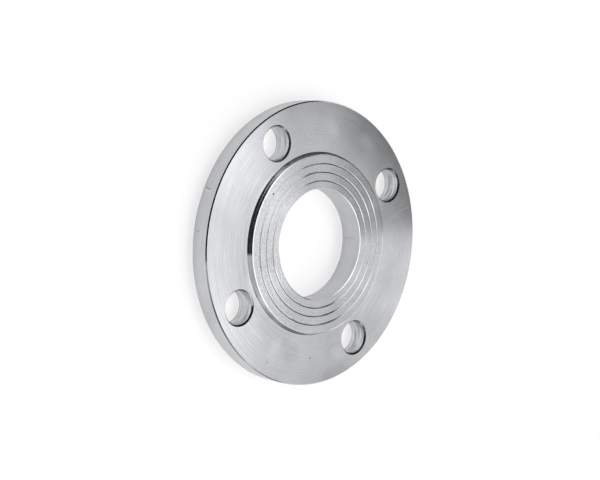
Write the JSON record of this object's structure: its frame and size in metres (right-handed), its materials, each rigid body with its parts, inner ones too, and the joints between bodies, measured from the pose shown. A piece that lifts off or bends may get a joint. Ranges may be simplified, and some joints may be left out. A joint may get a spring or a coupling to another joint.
{
  "type": "slip-on pipe flange",
  "caption": "Round turned steel plate flange with a grooved raised face, a plain bore that slips over a pipe, and a ring of countersunk bolt holes.",
  "frame": {"origin": "centre of the back face, on the axis of the bore", "axes": "+Z along the bore, from the back face towards the raised face; the bolt holes lie halfway between the X and Y axes"},
  "size_m": [0.155, 0.155, 0.0142],
  "materials": {
    "turned_steel": "bright bare steel with fine concentric turning marks"
  },
  "bodies": {
    "root": {"flange": "turned_steel"}
  },
  "joints": []
}
